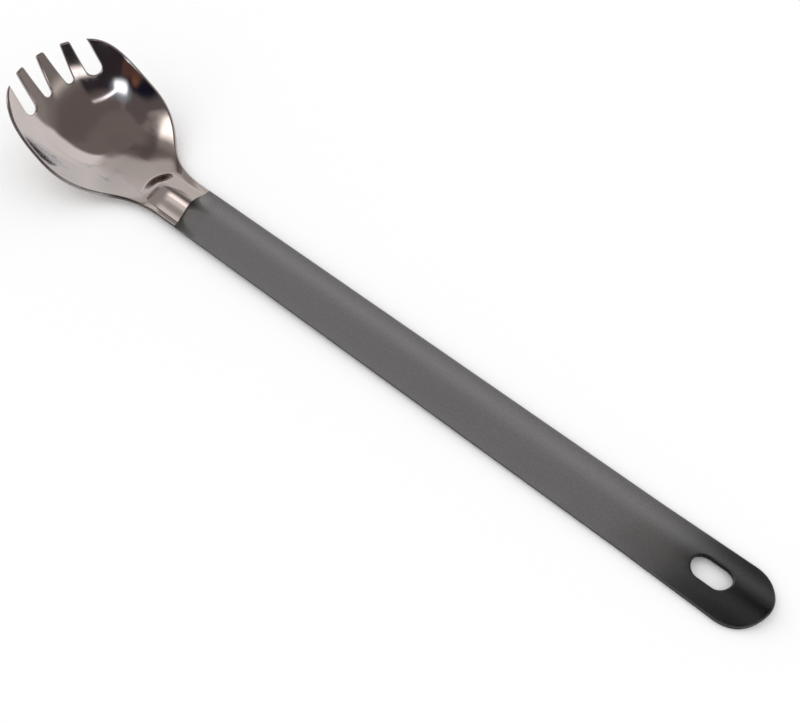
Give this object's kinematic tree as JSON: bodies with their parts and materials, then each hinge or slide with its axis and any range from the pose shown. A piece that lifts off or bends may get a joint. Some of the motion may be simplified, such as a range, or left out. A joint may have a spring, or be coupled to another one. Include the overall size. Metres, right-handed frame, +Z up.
{
  "type": "spork",
  "caption": "Long-handled titanium spork: polished scoop with short tines on its raised front, polished neck, arched blasted strip handle with a slot for hanging.",
  "frame": {"origin": "on the surface the spork rests on, under the middle of its length and width", "axes": "+X along the spork towards the end of its handle, +Y across it, +Z up out of the bowl's hollow"},
  "size_m": [0.2178, 0.037, 0.0222],
  "materials": {
    "polished_titanium": "mirror-polished titanium with soft rounded edges",
    "blasted_titanium": "bead-blasted titanium, matte, fine grain"
  },
  "bodies": {
    "root": {"left_outer_tine": "polished_titanium", "left_inner_tine": "polished_titanium", "middle_tine": "polished_titanium", "right_inner_tine": "polished_titanium", "right_outer_tine": "polished_titanium", "bowl": "polished_titanium", "neck": "polished_titanium", "handle": "blasted_titanium"}
  },
  "joints": []
}
